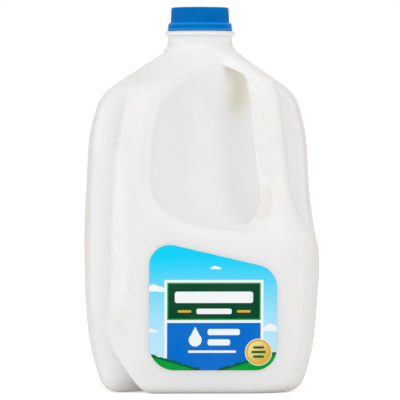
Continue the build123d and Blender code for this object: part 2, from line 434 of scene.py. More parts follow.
def eye_field(at, sizes):
    """The grip's eye: the opening between the recess's floor and the grip, from the side."""
    eye = soft_max(beyond_line(at, *EYE_INNER), beyond_line(at, *EYE_UNDER), 8.0)
    eye = soft_max(eye, EYE_FOOT - at.table_z, 12.0)
    floor = sizes.recess_floor * MM + EYE_FLOOR_GAP
    return np.maximum(eye, floor - at.table_side)[at.away_row]


def channel_field(at, sizes):
    """The round tool that runs down two corners and under the base between them."""
    tool = sizes.channel_radius * MM
    half, full = sizes.side * MM / 2, sizes.corner_radius * MM
    out = tool - sizes.channel_depth * MM
    top, lean, side = (
        (corner_reach(height, half, full) + out, height)
        for height in (CHANNEL_TOP, LEAN_TOP, WALL_TOP))
    above = (3 * top[0] - 2 * lean[0], 3 * top[1] - 2 * lean[1])
    under = sizes.base_arch * MM - tool
    path = rounded_path([above, lean, side, (side[0], under), (0.0, under)], [150, 150, 76])
    gap, _ = path_distance(np.abs(at.table_side), at.table_z, path)
    # it lies further round the corner above the foot, and is narrower under it
    foot = smooth(48.0, 4.0, at.z)
    aside = CHANNEL_SHIFT + CHANNEL_HIPS * smooth(90.0, 50.0, at.z) - CHANNEL_SWING * foot
    return np.hypot(gap[at.across_row], (at.away + aside) * (1 + CHANNEL_PINCH * foot)) - tool


def unevenness(x, y, z, seed=5, waves=9):
    """Slow wander of a blown wall, from -1 to 1."""
    draw = np.random.default_rng(seed)
    total = 0.0
    for _ in range(waves):
        direction = draw.normal(size=3)
        direction /= np.linalg.norm(direction)
        pace = 2 * math.pi / draw.uniform(26.0, 70.0)
        phase = draw.uniform(0, 2 * math.pi)
        a, b, c = direction * pace
        total = total + np.sin(a * x + b * y + c * z + phase)
    return total / math.sqrt(waves) / 1.6


def jug_field(sizes):
    """The whole body as a distance field, and the places that it is given at."""
    at = Places(sizes)
    wall, outside = walls_field(at, sizes), -recess_field(at, sizes)
    bevel = (wall + outside) * RIM_SLANT + sizes.rim_bevel * MM
    soft = sizes.rim_blend * MM + RIM_MELT * smooth(60.0, 86.0, at.away)
    body = soft_max(np.maximum(wall, outside), bevel, soft)
    # a fine bead runs along both edges of the bevel, and fades towards the corner
    beads = sum(np.exp(-(((side - bevel) / BEAD_WIDTH) ** 2)) for side in (wall, outside))
    body = body - sizes.rim_bead * MM * beads * smooth(62.0, 48.0, at.away)
    ends = 1 + 0.5 * smooth(150.0, 125.0, at.z)
    body = soft_min(body, grip_field(at, sizes), sizes.grip_blend * MM * ends)
    body = soft_max(body, -eye_field(at, sizes), 4.0)
    # where the grip runs into the body it doesn't stand out over the closed shape
    body = soft_max(body, wall - PROUD, PROUD)
    # a shallow hollow in each flank of the grip's foot
    apart = sum(((value - middle) / spread) ** 2 for value, middle, spread in zip(
        (at.away, np.abs(at.across), at.z), HOLLOW_PLACE, HOLLOW_SPREAD))
    body = body + HOLLOW_DEPTH * np.exp(-apart)
    neck = np.hypot(at.x, at.y) - (NECK_RADIUS - 0.6)
    neck = np.maximum(neck, np.maximum(at.z - SHOULDER_TOP - 6, 200.0 - at.z))
    body = soft_min(body, neck, 5.0)
    body = soft_max(body, -channel_field(at, sizes), sizes.channel_blend * MM)
    calm = smooth(4.0, 30.0, at.z) * smooth(SHOULDER_TOP, 205.0, at.z)
    wander = (1.0 + unevenness(at.x, at.y, at.z)) * calm
    body = body + sizes.unevenness * MM * wander
    return np.maximum(body, -at.z).astype(np.float32), at


def mesh_of(name, verts, faces):
    """A mesh from its corners and faces."""
    mesh = bpy.data.meshes.new(name)
    mesh.from_pydata(verts, [], faces)
    mesh.update()
    return mesh


def mesh_from_field(name, values, low, step):
    """The closed mesh where a distance field is 0."""
    limit = 3 * step
    grid = openvdb.FloatGrid(limit)
    grid.copyFromArray(np.clip(values, -limit, limit))
    points, quads = grid.convertToQuads(isovalue=0.0)
    points = (points * step + low) / MM
    return mesh_of(name, points.tolist(), quads.tolist())


# --- turned shapes --------------------------------------------------------------------


def turned_mesh(name, profile, segments, shift=None):
    """A closed solid turned about +Z from a profile in millimetres that starts and ends at r 0.

    shift(angles, index) moves a ring of the profile outward by millimetres.
    """
    angles = np.arange(segments) * 2 * math.pi / segments
    verts, faces = [(0.0, 0.0, profile[0][1] / MM)], []
    rings = []
    for index, (radius, height) in enumerate(profile[1:-1], start=1):
        out = radius + (shift(angles, index) if shift else 0.0)
        ring = np.stack([out * np.cos(angles), out * np.sin(angles), 0 * angles + height], axis=1)
        rings.append(len(verts))
        verts.extend(map(tuple, ring / MM))
    verts.append((0.0, 0.0, profile[-1][1] / MM))
    for i in range(segments):
        j = (i + 1) % segments
        faces.append((0, rings[0] + j, rings[0] + i))
        for a, b in zip(rings, rings[1:]):
            faces.append((a + i, a + j, b + j, b + i))
        faces.append((rings[-1] + i, rings[-1] + j, len(verts) - 1))
    return mesh_of(name, verts, faces)


def add_piece(name, mesh, material, slot, *stands_for):
    """Puts a finished mesh in the scene as a piece that rides on the jug."""
    piece = bpy.data.objects.new(name, mesh)
    bpy.context.scene.collection.objects.link(piece)
    shade_smooth(mesh)
    mesh.materials.clear()
    mesh.materials.append(material)
    if stands_for:
        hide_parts(*stands_for)
    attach(piece, "root")
    return piece


def shade_smooth(mesh):
    """Smooth shading, with all faces turned outward."""
    work = bmesh.new()
    work.from_mesh(mesh)
    bmesh.ops.recalc_face_normals(work, faces=work.faces)
    for face in work.faces:
        face.smooth = True
    work.to_mesh(mesh)
    work.free()
    mesh.update()


# --- shader helpers -------------------------------------------------------------------


class Graph:
    """Short words for building a node tree."""

    def __init__(self, tree):
        self.tree = tree

    def node(self, kind, **settings):
        """A node with its settings."""
        made = self.tree.nodes.new(kind)
        for key, value in settings.items():
            setattr(made, key, value)
        return made

    def feed(self, socket, value):
        """Links a socket, or sets a plain value."""
        if isinstance(value, bpy.types.NodeSocket):
            self.tree.links.new(value, socket)
        else:
            socket.default_value = value

    def math(self, operation, a, b=0.0, c=0.0, clamp=False):
        """One Math node's result."""
        made = self.node("ShaderNodeMath", operation=operation, use_clamp=clamp)
        for socket, value in zip(made.inputs, (a, b, c)):
            self.feed(socket, value)
        return made.outputs[0]

    def plus(self, a, b):
        """Two values added."""
        return self.math("ADD", a, b)

    def less(self, a, b):
        """The second value taken from the first."""
        return self.math("SUBTRACT", a, b)

    def times(self, first, *others):
        """Values multiplied."""
        for other in others:
            first = self.math("MULTIPLY", first, other)
        return first

    def ramp(self, value, low, high, bottom=0.0, top=1.0):
        """A value carried smoothly from one range to another."""
        made = self.node("ShaderNodeMapRange", interpolation_type="SMOOTHSTEP")
        for name, item in (("Value", value), ("From Min", low), ("From Max", high),
                           ("To Min", bottom), ("To Max", top)):
            self.feed(made.inputs[name], item)
        return made.outputs["Result"]

    def mix(self, factor, a, b):
        """One colour over another."""
        made = self.node("ShaderNodeMix", data_type="RGBA")
        self.feed(made.inputs[0], factor)
        self.feed(made.inputs[6], a)
        self.feed(made.inputs[7], b)
        return made.outputs[2]

    def place(self):
        """The object's own coordinates."""
        return self.node("ShaderNodeTexCoord").outputs["Object"]

    def split(self, vector):
        """The three parts of a vector."""
        made = self.node("ShaderNodeSeparateXYZ")
        self.feed(made.inputs[0], vector)
        return made.outputs[0], made.outputs[1], made.outputs[2]

    def noise(self, vector, scale, detail=2.0, roughness=0.5):
        """A noise value from 0 to 1."""
        made = self.node("ShaderNodeTexNoise")
        self.feed(made.inputs["Vector"], vector)
        made.inputs["Scale"].default_value = scale
        made.inputs["Detail"].default_value = detail
        made.inputs["Roughness"].default_value = roughness
        return made.outputs["Fac"]

    def stretched(self, vector, scale):
        """The coordinates scaled apart along X, Y and Z."""
        made = self.node("ShaderNodeMapping")
        self.feed(made.inputs["Vector"], vector)
        made.inputs["Scale"].default_value = scale
        return made.outputs[0]

    def group(self, tree, **values):
        """A shared effect with its own values."""
        made = self.node("ShaderNodeGroup", node_tree=tree)
        for name, value in values.items():
            self.feed(made.inputs[name.replace("_", " ")], value)
        return made.outputs

    def bump(self, height, distance, normal=None):
        """A Bump node fed by a height from 0 to 1."""
        made = self.node("ShaderNodeBump")
        made.inputs["Distance"].default_value = distance
        self.feed(made.inputs["Height"], height)
        if normal is not None:
            self.feed(made.inputs["Normal"], normal)
        return made.outputs[0]


def rgba(values):
    """A property's colour as four numbers."""
    return (*tuple(values)[:3], 1.0)


def new_material(name):
    """(material, graph, Principled node) with an empty node tree."""
    material = bpy.data.materials.new(name)
    material.use_nodes = True
    graph = Graph(material.node_tree)
    for node in list(material.node_tree.nodes):
        material.node_tree.nodes.remove(node)
    output = graph.node("ShaderNodeOutputMaterial")
    shader = graph.node("ShaderNodeBsdfPrincipled")
    graph.feed(output.inputs["Surface"], shader.outputs[0])
    return material, graph, shader


def new_group(name, inputs, outputs):
    """An empty shader node group with named sockets: (tree, graph, input sockets, output node)."""
    tree = bpy.data.node_groups.new(name, "ShaderNodeTree")
    for label, kind, default in inputs:
        socket = tree.interface.new_socket(label, in_out="INPUT", socket_type=kind)
        if default is not None:
            socket.default_value = default
    for label, kind in outputs:
        tree.interface.new_socket(label, in_out="OUTPUT", socket_type=kind)
    graph = Graph(tree)
    return tree, graph, graph.node("NodeGroupInput").outputs, graph.node("NodeGroupOutput").inputs


def moulded_grain():
    """Shared effect: the fine orange peel and uneven gloss of moulded or printed plastic."""
    found = bpy.data.node_groups.get("Moulded grain")
    if found:
        return found
    scalar = "NodeSocketFloat"
    tree, graph, given, result = new_group(
        "Moulded grain",
        [("Vector", "NodeSocketVector", None), ("Size", scalar, 900.0),
         ("Roughness", scalar, 0.4), ("Variation", scalar, 0.06)],
        [("Roughness", scalar), ("Height", scalar), ("Cloud", scalar)])
    fine = graph.node("ShaderNodeTexNoise")
    graph.feed(fine.inputs["Vector"], given["Vector"])
    graph.feed(fine.inputs["Scale"], given["Size"])
    fine.inputs["Detail"].default_value = 3.0
    slow = graph.noise(given["Vector"], 45.0, 3.0, 0.55)
    wander = graph.less(slow, 0.5)
    patchy = graph.math("MULTIPLY_ADD", wander, given["Variation"], given["Roughness"])
    speck = graph.less(fine.outputs["Fac"], 0.5)
    small = graph.times(given["Variation"], 0.5)
    graph.feed(result["Roughness"], graph.math("MULTIPLY_ADD", speck, small, patchy))
    graph.feed(result["Height"], fine.outputs["Fac"])
    graph.feed(result["Cloud"], slow)
    return tree


def jug_material(sizes):
    """Milky high-density plastic with milk behind it: soft light inside, satin outside."""
    material, graph, shader = new_material("Milky plastic")
    place = graph.place()
    x, y, z = graph.split(place)
    away = graph.times(graph.less(x, y), ROOT_HALF)
    flank = graph.math("ABSOLUTE", graph.times(graph.plus(x, y), ROOT_HALF))
    grain = graph.group(moulded_grain(), Vector=place, Size=650.0,
                        Roughness=sizes.gloss, Variation=0.10)
    # the headspace above the milk lets a little more grey through
    level = graph.plus(z, graph.times(graph.less(grain["Cloud"], 0.5), 0.006))
    filled = graph.ramp(level, MILK_LEVEL - 0.005, MILK_LEVEL + 0.005, 1.0, 0.0)
    body = graph.mix(filled, rgba(sizes.empty), rgba(sizes.milk))
    cloud = graph.ramp(graph.noise(place, 14.0, 2.0), 0.3, 0.7, 0.0, 0.05)
    body = graph.mix(cloud, body, rgba(sizes.empty))
    # painted light: the recess is painted paler where it is shut in, as if light gathered there,
    fold = graph.node("ShaderNodeAmbientOcclusion", samples=10, only_local=True)
    fold.inputs["Distance"].default_value = 0.05
    openness = fold.outputs["AO"]
    painted_recess_light = graph.ramp(openness, 0.74, 1.0, 1.0, 0.0)
    body = graph.mix(painted_recess_light, body, rgba(sizes.hollow))
    # and a painted highlight makes the shelf and the ridge beside the channel paler
    ridge = graph.times(
        graph.ramp(graph.math("ABSOLUTE", graph.less(x, RIDGE_X)), 0.001, 0.008, 0.8, 0.0),
        graph.ramp(y, -0.055, -0.045, 1.0, 0.0),
        graph.ramp(z, 0.175, 0.150),
        graph.ramp(z, 0.045, 0.070))
    shelf = graph.times(
        graph.ramp(z, 0.100, 0.108),
        graph.ramp(z, 0.124, 0.150, 1.0, 0.0),
        graph.ramp(openness, 0.70, 0.97, 1.0, 0.0))
    body = graph.mix(graph.math("MAXIMUM", ridge, shelf), body, rgba(sizes.pale))
    # painted shade: the deepest folds are painted a warmer, darker tint, and the nook most of all
    deep = graph.times(graph.ramp(openness, 0.25, 0.62, 0.9, 0.0), graph.ramp(z, 0.165, 0.190))
    nook = graph.node("ShaderNodeVectorMath", operation="DISTANCE")
    graph.feed(nook.inputs[0], graph.stretched(place, (1.0, 1.0, NOOK_STRETCH)))
    nook.inputs[1].default_value = (*NOOK_SHADE_CENTRE[:2], NOOK_SHADE_CENTRE[2] * NOOK_STRETCH)
    warm = graph.ramp(nook.outputs["Value"], 0.002, 0.019, 0.95, 0.0)
    body = graph.mix(graph.math("MAXIMUM", deep, warm), body, rgba(sizes.shade))
    # painted shade: the hollows in the grip's foot are painted a little greyer,
    apart = 0.0
    for value, middle, reach in zip((away, flank, z), HOLLOW_PLACE, HOLLOW_SHADE_REACH):
        part = graph.math("DIVIDE", graph.less(value, middle / MM), reach / MM)
        apart = graph.math("MULTIPLY_ADD", part, part, apart)
    body = graph.mix(graph.ramp(apart, 0.3, 1.0, 0.32, 0.0), body, rgba(sizes.outline))
    # and so are the outlines, where one looks along the wall, as painted shade that follows the
    # viewer
    glance = graph.node("ShaderNodeLayerWeight")
    glance.inputs["Blend"].default_value = 0.5
    shape = graph.node("ShaderNodeNewGeometry")
    upward = graph.split(shape.outputs["Normal"])[2]
    rim = graph.times(
        graph.math("MULTIPLY_ADD", glance.outputs["Facing"], 1.1, -0.3, clamp=True),
        graph.ramp(openness, 0.60, 0.95),
        graph.ramp(upward, 0.3, 0.8, 1.0, 0.3))
    body = graph.mix(rim, body, rgba(sizes.outline))
    graph.feed(shader.inputs["Base Color"], body)
    graph.feed(shader.inputs["Roughness"], grain["Roughness"])
    # the drawn parison leaves faint upright streaks, and the mould's halves a fine seam
    streaks = graph.noise(graph.stretched(place, (160.0, 160.0, 6.0)), 1.0, 3.0)
    swell = graph.noise(place, 55.0, 2.0, 0.4)
    seam = graph.times(
        graph.ramp(flank, 0.0002, 0.0006, 1.0, 0.0), graph.ramp(away, 0.045, 0.060))
    normal = None
    for height, distance in ((swell, 0.00035), (streaks, 0.00006),
                             (grain["Height"], 0.00004), (seam, 0.00012)):
        normal = graph.bump(height, distance, normal)
    graph.feed(shader.inputs["Normal"], normal)
    shader.inputs["IOR"].default_value = 1.5
    shader.inputs["Specular IOR Level"].default_value = 0.32
    shader.inputs["Subsurface Weight"].default_value = 0.55
    shader.inputs["Subsurface Radius"].default_value = (1.0, 0.82, 0.66)
    shader.inputs["Subsurface Scale"].default_value = sizes.depth
    return material


def cap_material(sizes):
    """Injection-moulded blue plastic, a little worn and lighter along its edges."""
    material, graph, shader = new_material("Blue cap plastic")
    place = graph.place()
    grain = graph.group(moulded_grain(), Vector=place, Size=1500.0,
                        Roughness=sizes.gloss, Variation=0.14)
    shape = graph.node("ShaderNodeNewGeometry")
    edge = graph.ramp(shape.outputs["Pointiness"], 0.52, 0.60)
    scuffs = graph.ramp(graph.noise(place, 320.0, 4.0, 0.6), 0.48, 0.70)
    worn = graph.times(edge, graph.math("MULTIPLY_ADD", scuffs, 0.45, 0.15))
    light = tuple(min(1.0, 1.65 * part) for part in sizes.blue)
    dark = tuple(0.86 * part for part in sizes.blue)
    cloud = graph.ramp(grain["Cloud"], 0.35, 0.65)
    body = graph.mix(cloud, rgba(dark), rgba(sizes.blue))
    # painted highlight: the thin band's shoulder and its foot are painted a lighter blue
    height = graph.split(place)[2]
    foot = float(CAP_BOX[0][2])
    shoulder = foot + sizes.band_height
    upper = graph.times(
        graph.ramp(height, shoulder - 0.0022, shoulder - 0.0004),
        graph.ramp(height, shoulder, shoulder + 0.0010, 1.0, 0.0))
    lower = graph.ramp(height, foot + 0.0006, foot + 0.0022, 1.0, 0.0)
    body = graph.mix(graph.math("MAXIMUM", upper, lower), body, rgba(sizes.thin))
    graph.feed(shader.inputs["Base Color"], graph.mix(worn, body, rgba(light)))
    graph.feed(shader.inputs["Roughness"], grain["Roughness"])
    graph.feed(shader.inputs["Normal"], graph.bump(grain["Height"], 0.00003))
    shader.inputs["IOR"].default_value = 1.5
    shader.inputs["Specular IOR Level"].default_value = 0.03
    shader.inputs["Subsurface Weight"].default_value = 0.12
    shader.inputs["Subsurface Radius"].default_value = (0.3, 0.6, 1.0)
    shader.inputs["Subsurface Scale"].default_value = 0.0012
    return material


class Print:
    """Plain shapes with crisp edges, drawn over the label in millimetres from its middle foot."""

    EDGE = 0.12

    def __init__(self, graph, across, up):
        self.graph, self.across, self.up = graph, across, up

    def inside(self, distance):
        """1 where a distance is below 0, with a thin soft edge."""
        return self.graph.ramp(distance, -self.EDGE, self.EDGE, 1.0, 0.0)

    def reach(self, dx, dy):
        """The length of a step across and up."""
        g = self.graph
        return g.math("SQRT", g.plus(g.times(dx, dx), g.times(dy, dy)))

    def past(self, value, low, high):
        """How far a value lies outside a span."""
        g = self.graph
        away = g.math("ABSOLUTE", g.less(value, (low + high) / 2))
        return g.less(away, (high - low) / 2)

    def block(self, left, right, low, high, corner=0.0):
        """A rectangle with rounded corners."""
        g = self.graph
        over_x = self.past(self.across, left + corner, right - corner)
        over_y = self.past(self.up, low + corner, high - corner)
        outside = self.reach(g.math("MAXIMUM", over_x, 0.0), g.math("MAXIMUM", over_y, 0.0))
        within = g.math("MINIMUM", g.math("MAXIMUM", over_x, over_y), 0.0)
        return self.inside(g.less(g.plus(outside, within), corner))

    def disc(self, x, y, radius, flat=1.0):
        """A disc, or an ellipse if flat is over 1."""
        g = self.graph
        gap = self.reach(g.less(self.across, x), g.times(g.less(self.up, y), flat))
        return self.inside(g.less(gap, radius))

    def join(self, *shapes):
        """Several shapes as one."""
        total = shapes[0]
        for shape in shapes[1:]:
            total = self.graph.math("MAXIMUM", total, shape)
        return total

    def puffs(self, x, y, width):
        """A cloud: flat below and lumpy above."""
        lumps = ((-0.36, 0.02, 0.16), (-0.12, 0.10, 0.24), (0.16, 0.05, 0.20), (0.38, 0.0, 0.13))
        cloud = self.join(*(
            self.disc(x + a * width, y + b * width, r * width, 1.5) for a, b, r in lumps))
        above = self.block(x - width, x + width, y - 0.07 * width, y + width)
        return self.graph.math("MINIMUM", cloud, above)


# The label's print, in its own millimetres: clouds as (across, up, width), the rest as
# (left, right, low, high) and a corner's radius
PRINT_SCALE = 1.01
PRINT_PLACE = (-3.94, 1.6)
CLOUDS = ((-36.0, 71.5, 15.0), (42.0, 45.0, 15.0), (-39.0, 44.0, 8.0), (4.0, 86.0, 7.0))
BORDER = (-30.4, 35.7, 15.0, 78.4)
BOARD_EDGE = (-28.6, 33.9, 51.6, 76.6)
BOARD = (-27.7, 33.0, 52.5, 75.7)
FIELD = (-28.6, 33.9, 15.0, 49.7)
BARS = ((-23.5, 28.8, 63.0, 70.6, 1.6), (-9.0, 14.5, 55.6, 59.2, 1.2),
        (-1.5, 20.0, 41.5, 45.6, 1.4), (-1.5, 13.5, 34.6, 38.7, 1.4),
        (-14.5, 17.5, 29.6, 31.2, 0.6))
DASHES = ((-21.5, -12.5, 56.6, 58.2, 0.5), (18.0, 27.0, 56.6, 58.2, 0.5))
DROP = (-9.8, 38.2, 4.3)
DROP_TIP = 47.2
HILL_TOPS = (-40.6, 44.7)  # where the hills' slopes start, from the left and the right
HILL_SLOPE = 0.30
SEAL = (32.6, 30.0)
SEAL_LINES = ((29.0, 36.2, 32.4, 34.0, 0.4), (27.8, 37.4, 29.3, 30.9, 0.4),
              (29.0, 36.2, 26.2, 27.8, 0.4))


def label_material(sizes):
    """Printed paper: sky, clouds, hills, a green board over a blue field, and a round seal."""
    material, graph, shader = new_material("Printed label")
    place = graph.place()
    x, _, z = graph.split(place)
    # the print's own millimetres, across from its middle and up from its foot
    across = graph.math("MULTIPLY_ADD", x, MM / PRINT_SCALE, PRINT_PLACE[0])
    up = graph.math("MULTIPLY_ADD", z, MM / PRINT_SCALE, PRINT_PLACE[1])
    draw = Print(graph, across, up)
    white, gold, dark = rgba(sizes.cloud), rgba(sizes.gold), rgba(sizes.bush)

    ink = graph.mix(graph.ramp(up, 30.0, 98.0), rgba(sizes.sky_bottom), rgba(sizes.sky_top))
    ink = graph.mix(draw.join(*(draw.puffs(*cloud) for cloud in CLOUDS)), ink, white)
    # board and field inside one white border
    for block, colour_now in ((BORDER, white), (BOARD_EDGE, rgba(sizes.leaf)),
                              (BOARD, rgba(sizes.board)), (FIELD, rgba(sizes.field))):
        ink = graph.mix(draw.block(*block), ink, colour_now)
    # plain bars and a drop stand where a pack has its words
    slant = graph.math("ABSOLUTE", graph.less(across, DROP[0]))
    point = graph.math("MULTIPLY_ADD", slant, 1.95, graph.less(up, DROP_TIP))
    tip = graph.math("MINIMUM", draw.inside(point), draw.block(-16.0, -3.0, 39.6, 48.0))
    bars = (draw.block(*bar) for bar in BARS)
    ink = graph.mix(draw.join(*bars, draw.disc(*DROP), tip), ink, white)
    ink = graph.mix(draw.join(*(draw.block(*dash) for dash in DASHES)), ink, gold)
    # hills over the field's foot: a ragged crest of bushes, then grass
    crest = graph.plus(up, graph.times(graph.less(graph.noise(place, 420.0, 2.0), 0.5), 4.5))
    left = graph.times(graph.less(across, HILL_TOPS[0]), -HILL_SLOPE)
    right = graph.times(graph.less(across, HILL_TOPS[1]), HILL_SLOPE)
    bushes, grass = (crest, (29.0, 30.5), dark), (up, (27.4, 28.6), rgba(sizes.leaf))
    for height, tops, colour_now in (bushes, grass):
        slopes = (draw.inside(graph.less(height, graph.plus(side, top)))
                  for side, top in zip((left, right), tops))
        ink = graph.mix(draw.join(*slopes), ink, colour_now)
    # the seal, with three plain lines
    sheen = graph.ramp(graph.less(across, up), -12.0, 14.0)
    middle = graph.mix(sheen, rgba(sizes.pale_gold), gold)
    for radius, colour_now in ((9.1, white), (8.7, gold), (7.3, middle)):
        ink = graph.mix(draw.disc(*SEAL, radius), ink, colour_now)
    ink = graph.mix(draw.join(*(draw.block(*line) for line in SEAL_LINES)), ink, dark)

    grain = graph.group(moulded_grain(), Vector=place, Size=2400.0,
                        Roughness=sizes.gloss, Variation=0.08)
    fibre = graph.ramp(grain["Cloud"], 0.3, 0.7, 0.0, 0.01)
    graph.feed(shader.inputs["Base Color"], graph.mix(fibre, ink, white))
    graph.feed(shader.inputs["Roughness"], grain["Roughness"])
    cockle = graph.bump(graph.noise(place, 38.0, 2.0), 0.00025)
    graph.feed(shader.inputs["Normal"], graph.bump(grain["Height"], 0.000015, cockle))
    shader.inputs["IOR"].default_value = 1.45
    shader.inputs["Specular IOR Level"].default_value = 0.04
    return material


def water_material(settings):
    """Small drops that show the pale wall under them, painted paler than it as a painted glint,
    with a bright wet top.
    """
    material, graph, shader = new_material("Dew water")
    clear = graph.noise(graph.place(), 300.0, 1.0)
    pale = tuple(0.97 * part for part in settings.water)
    graph.feed(shader.inputs["Base Color"],
               graph.mix(graph.ramp(clear, 0.35, 0.65), rgba(pale), rgba(settings.water)))
    shader.inputs["Roughness"].default_value = 0.12
    shader.inputs["IOR"].default_value = 1.333
    shader.inputs["Specular IOR Level"].default_value = 0.9
    return material


# --- pieces ---------------------------------------------------------------------------


def neck_profile(rim):
    """The neck, the bead under the cap and the closed mouth, in millimetres."""
    bead = [(22.2, 243.3), (22.5, 243.55), (23.5, 243.8), (24.1, 244.15), (24.3, 244.7),
            (24.3, 245.3), (24.1, 245.8), (23.5, 246.3), (22.8, 246.7), (22.0, 246.8)]
    root = [(23.2, 225.0), (24.2, 229.8), (24.6, 231.8), (24.7, 233.2), (24.4, 234.3),
            (23.6, 235.4), (22.8, 236.2), (22.3, 237.0), (22.2, 238.0), (22.2, 240.8)]
    mouth = [(18.1, 247.0), (18.1, rim - 0.5), (17.6, rim)]
    return [(0.0, 225.0), *root, *bead, *mouth, (0.0, rim)]


class MILKJUG_OT_body(bpy.types.Operator):
    """Build the blown body with its recess, grip, channel and neck"""

    bl_idname = "milk_jug.body"
    bl_label = "Jug"

    def execute(self, context):
        sizes = context.scene.milk_jug_body
        values, at = jug_field(sizes)
        mesh = mesh_from_field("jug_body", values, at.low, at.step)
        piece = add_piece("jug_body", mesh, jug_material(sizes), "jug", "jug")
        neck = bpy.data.objects.new("neck", turned_mesh(
            "neck", neck_profile(sizes.mouth_height * MM), 192))
        context.scene.collection.objects.link(neck)
        shade_smooth(neck.data)
        union = piece.modifiers.new("neck", "BOOLEAN")
        union.operation, union.object, union.solver = "UNION", neck, "MANIFOLD"
        apply_modifiers(piece)
        bpy.data.objects.remove(neck)
        return {"FINISHED"}


def apply_modifiers(piece):
    """Puts what the modifiers give into the piece's own mesh."""
    graph = bpy.context.evaluated_depsgraph_get()
    made = bpy.data.meshes.new_from_object(piece.evaluated_get(graph))
    old = piece.data
    piece.modifiers.clear()
    piece.data = made
    made.name = piece.name
    bpy.data.meshes.remove(old)
    for face in made.polygons:
        face.use_smooth = True


class MILKJUG_OT_cap(bpy.types.Operator):
    """Build the ribbed cap with its tear band"""

    bl_idname = "milk_jug.cap"
    bl_label = "Cap"

    def execute(self, context):
        sizes = context.scene.milk_jug_cap
        foot, roof = CAP_BOX[0][2] * MM, CAP_BOX[1][2] * MM
        under = JUG_BOX[1][2] * MM
        skirt, draft = sizes.radius * MM, sizes.draft * MM
        top = foot + sizes.band_height * MM
        band = skirt + draft + sizes.band_flare * MM
        spread = sizes.band_spread * MM
        wall, edge = sizes.wall * MM, sizes.edge * MM
        bore, root, lip = skirt - wall, skirt + draft, band + spread
        inside = [(0.0, under), (bore, under), (bore, top), (band - wall, top - wall),
                  (lip - wall, foot), (lip - 0.25, foot)]
        tear_band = [(lip - 0.05, foot + 0.08), (lip, foot + 0.3),
                     (band + 0.62 * spread, foot + 1.6), (band + 0.3 * spread, foot + 3.0),
                     (band + 0.05, top - 0.9), (band - 0.03, top - 0.5),
                     (band - 0.3, top - 0.15), (band - 0.7, top - 0.02), (root + 0.35, top + 0.02)]
        slit = [(root + 0.05, top + 0.05), (root - 0.25, top + 0.12),
                (root - 0.28, top + 0.35), (root - 0.22, top + 0.6)]
        slit_start = len(inside) + len(tear_band)
        profile = [*inside, *tear_band, *slit, (root - 0.02, top + 0.72), (root, top + 0.9)]
        ribbed_from, ribbed_to = top + 1.0, roof - edge - 0.1
        for part in np.linspace(0.0, 1.0, 15):
            height = ribbed_from + (ribbed_to - ribbed_from) * part
            profile.append((skirt + draft * (1 - part), height))
        for turn in np.linspace(0.1, 1.0, 8) * math.pi / 2:
            inward, down = edge * (1 - math.cos(turn)), edge * (1 - math.sin(turn))
            profile.append((skirt - inward, roof - down))
        # the roof is a shallow dish with a small nib in its middle
        profile += [(17.9, roof), (17.5, roof - 0.06), (17.2, roof - 0.25), (16.8, roof - 0.32),
                    (13.0, roof - 0.33), (9.0, roof - 0.34), (4.0, roof - 0.35), (1.1, roof - 0.35),
                    (0.85, roof - 0.2), (0.5, roof - 0.12), (0.0, roof - 0.1)]
        pitch = 2 * math.pi / sizes.ribs
        tie = 2 * math.pi / sizes.bridges

        def shift(angles, index):
            height = profile[index][1]
            outer = index >= len(inside)
            away = (angles + pitch / 2) % pitch - pitch / 2
            groove = np.exp(-(away * skirt / 0.30) ** 2)
            on_skirt = smooth(ribbed_from - 0.1, ribbed_from + 0.5, height)
            on_skirt = on_skirt * smooth(ribbed_to + 0.6, ribbed_to - 0.5, height)
            out = -sizes.rib_depth * MM * groove * on_skirt * outer
            if slit_start <= index < slit_start + len(slit):
                gap = (angles + tie / 2) % tie - tie / 2
                bridge = np.exp(-(gap * skirt / 0.5) ** 4)
                out = out + 0.3 * bridge
            return out

        mesh = turned_mesh("cap_shell", profile, sizes.ribs * 8, shift)
        add_piece("cap_shell", mesh, cap_material(sizes), "cap", "cap")
        return {"FINISHED"}


# Radii of the label's corners: foot and top at the right, top and foot at the left
LABEL_CORNERS = (14.4, 15.4, 14.0, 17.5)
LABEL_EDGE = 0.45  # share of the label's thickness that is left at its edge
LABEL_SUNK = 0.0002  # metres that its back lies under the wall's surface


def label_loop(sizes):
    """The label's outline from the front, in millimetres, evenly spaced."""
    left, right = LABEL_BOX[0][0] * MM, LABEL_BOX[1][0] * MM
    low, high = LABEL_BOX[0][2] * MM, sizes.top_left * MM
    step_down = sizes.top_right * MM
    middle = ((left + right) / 2, low)
    path = rounded_path(
        [middle, (right, low), (right, step_down), (left, high), (left, low), middle],
        LABEL_CORNERS)
    spans = np.concatenate([[0.0], np.cumsum(np.linalg.norm(np.diff(path, axis=0), axis=1))])
    places = np.linspace(0.0, spans[-1], 241)[:-1]
    return np.stack([np.interp(places, spans, path[:, k]) for k in (0, 1)], axis=1)


